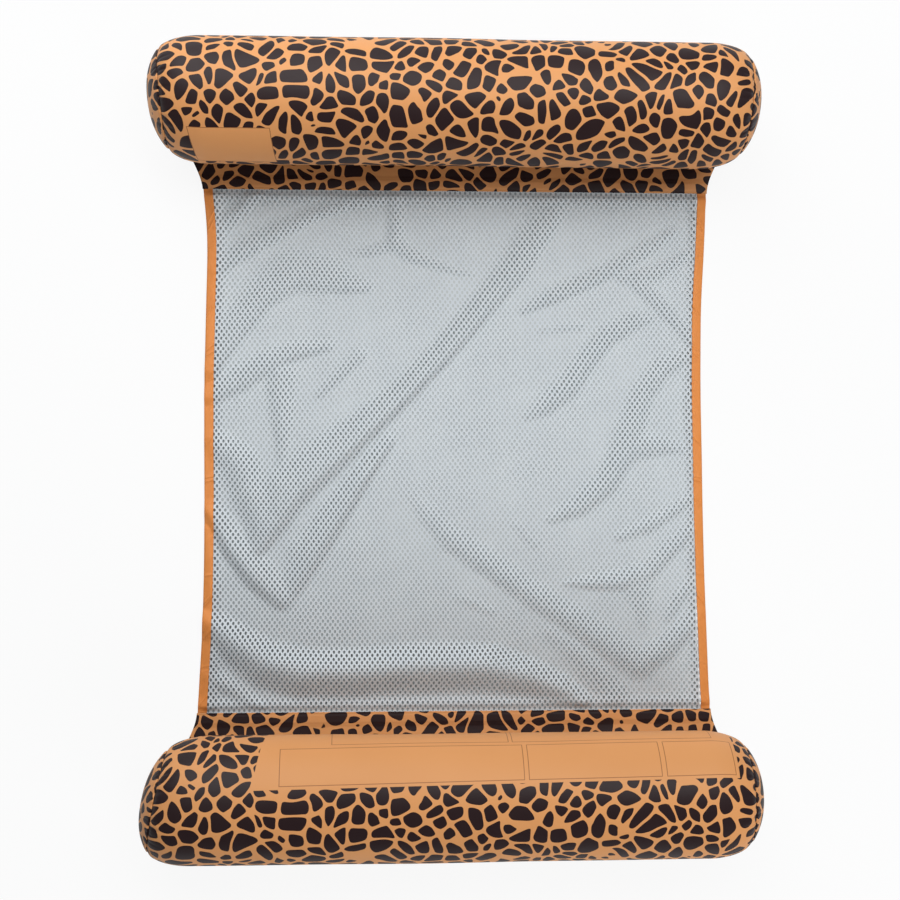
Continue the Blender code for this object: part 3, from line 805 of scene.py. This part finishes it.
def binding(name, hand, tape):
    """Ribbon folded round the net's side, creased here and there."""
    top, bottom, mid = BINDING_TOP - FILM / 2, FILM / 2, BINDING_TOP / 2
    # Way in from the outer edge and height, from the lower layer round the fold to the upper one
    section = [(BINDING_WIDTH, bottom), (0.0012, bottom), (0.0004, mid - 0.0005), (0.0002, mid)]
    section += [(0.0004, mid + 0.0005), (0.0012, top), (BINDING_WIDTH, top)]
    lengths = np.cumsum([0] + [math.dist(a, b) for a, b in zip(section, section[1:])])
    inwards, heights = np.array(section).T

    def place(u, v):
        y = (2 * v - 1) * BINDING_END
        walked = u * lengths[-1]
        x = hand * (side_x(y) - np.interp(walked, lengths, inwards))
        z = np.interp(walked, lengths, heights)
        upper = smooth_share((walked - lengths[4]) / 0.002)
        crease = 0.0
        for start in np.arange(-CREASED_Y, CREASED_Y, CREASE_SPACING):
            # Each crease has its own place, slant and height
            start += 0.011 * math.sin(91 * start)
            slant = 0.9 + 0.7 * math.sin(57 * start)
            height = 0.0009 + 0.0006 * math.sin(133 * start)
            away = np.abs(y - start - (side_x(y) - np.abs(x)) * slant)
            crease = crease + height * np.exp(-away / CREASE_WIDTH)
        z = z + upper * (crease + 0.0003 * (1 + np.sin(95 * y) * np.sin(37 * y)))
        return x + settled(x, y), y, z + panel_height(x, y)

    made = surface(name + "_tape", 36, 700, place, tape)
    thicken(made, FILM * 0.8)
    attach(made, "panel")
    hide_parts(name)


def stage():
    """A pale floor that shows white round the hammock, and plain under its net, with painted shade
    along its left side, by the flaps and in the left foot corner.
    """
    bm = bmesh.new()
    bmesh.ops.create_circle(bm, cap_ends=True, segments=64, radius=9)
    finish = Finish("pale floor")
    floor = piece("floor", bm, finish.material)
    path = finish.node("ShaderNodeLightPath", {}, {})
    seen = path.most(path.other("Is Transmission Ray"))
    point = finish.node("ShaderNodeSeparateXYZ", {}, {"Vector": finish.place()})
    x, y = point, point.other("Y")
    half_width = PATCH_WIDTH + y * y * (SIDE_BOW / FOLD.y**2)
    to_flap = PATCH_LENGTH - abs(y)
    under = finish.step((half_width - abs(x)).least(to_flap), -PATCH_EDGE, PATCH_EDGE)
    # Painted shade: the floor under the net is painted darker in a band along the left side and the
    # flaps, and in the left foot corner
    beside = 1 - finish.step((half_width + x).least(to_flap), *PAINTED_SHADE_BAND)
    corner = 1 - finish.step(PAINTED_SHADE_CORNER_LEAN * x + y, *PAINTED_SHADE_CORNER)
    painted_shade_share = beside.most(corner)
    shade = finish.mixed(painted_shade_share, colour(194, 201, 202), colour(150, 158, 162))
    plain = finish.mixed(under, colour(226, 228, 229), shade)
    finish.surface_values({"Base Color": plain, "Roughness": 0.9})
    bright = finish.node("ShaderNodeEmission", {}, {"Color": (1, 1, 1, 1), "Strength": 1.0})
    share = seen * (1 - under) * 0.9
    shaded = Signal(finish, finish.surface.outputs[0])
    shown = finish.node("ShaderNodeMixShader", {}, {0: share, 1: shaded, 2: bright})
    finish.tree.links.new(shown.socket, finish.tree.nodes["Material Output"].inputs["Surface"])


def light():
    """A lamp beyond the head tube, a low one at the foot, a weak one above, and a pale even sky."""
    for name, place, width, height, watts in (
        ("key", Vector((-0.60, 1.50, 1.35)), 1.4, 2.2, 34),
        ("fill", Vector((0.95, -1.75, 1.00)), 1.6, 1.0, 22),
        ("top", Vector((0.70, 0.75, 1.90)), 1.2, 1.2, 17),
    ):
        lamp = bpy.data.objects.new(name, bpy.data.lights.new(name, "AREA"))
        lamp.data.shape = "RECTANGLE"
        lamp.data.size = width
        lamp.data.size_y = height
        lamp.data.energy = watts
        lamp.location = place
        lamp.visible_glossy = name != "fill"
        lamp.rotation_euler = (-place).to_track_quat("-Z", "Y").to_euler()
        bpy.context.collection.objects.link(lamp)
    world = bpy.data.worlds.new("sky")
    bpy.context.scene.world = world
    world.use_nodes = True
    nodes, links = world.node_tree.nodes, world.node_tree.links
    sky = nodes["Background"]
    sky.inputs["Color"].default_value = (0.95, 0.97, 1.0, 1)
    sky.inputs["Strength"].default_value = 0.17
    backdrop = nodes.new("ShaderNodeBackground")
    backdrop.inputs["Strength"].default_value = 1.0
    backdrop.inputs["Color"].default_value = (1, 1, 1, 1)
    path = nodes.new("ShaderNodeLightPath")
    mix = nodes.new("ShaderNodeMixShader")
    links.new(path.outputs["Is Camera Ray"], mix.inputs[0])
    links.new(sky.outputs[0], mix.inputs[1])
    links.new(backdrop.outputs[0], mix.inputs[2])
    links.new(mix.outputs[0], nodes["World Output"].inputs["Surface"])


def camera():
    """Looks down from about standing height, as fitted to the outlines in the photograph."""
    made = bpy.data.objects.new("camera", bpy.data.cameras.new("camera"))
    made.data.lens = 64.39
    made.location = (-0.1089, -0.055, 1.8)
    made.rotation_euler = (math.radians(1.746), math.radians(-3.314), math.radians(-0.078))
    bpy.context.collection.objects.link(made)
    bpy.context.scene.camera = made
    bpy.context.scene.view_settings.view_transform = "Standard"


camera()
light()
stage()
net(net_cloth())
tape = binding_tape()
binding("left_binding", -1, tape)
binding("right_binding", 1, tape)
plain_film = printed_film("printed film")
vinyl = clear_vinyl()
for end, side in (("head", 1), ("foot", -1)):
    film = printed_film(end + " tube film", LABELS[end], FRAMES[end])
    barrel(end, side, film)
    end_disc(end, side, -1, plain_film)
    end_disc(end, side, 1, plain_film)
    flap_ply(end, side, True, plain_film)
    flap_ply(end, side, False, plain_film)
    for part in ("base", "stem", "plug", "check_flap"):
        node = frame["nodes"][f"{end}_valve_{part}"]
        node.data.materials.clear()
        node.data.materials.append(vinyl)
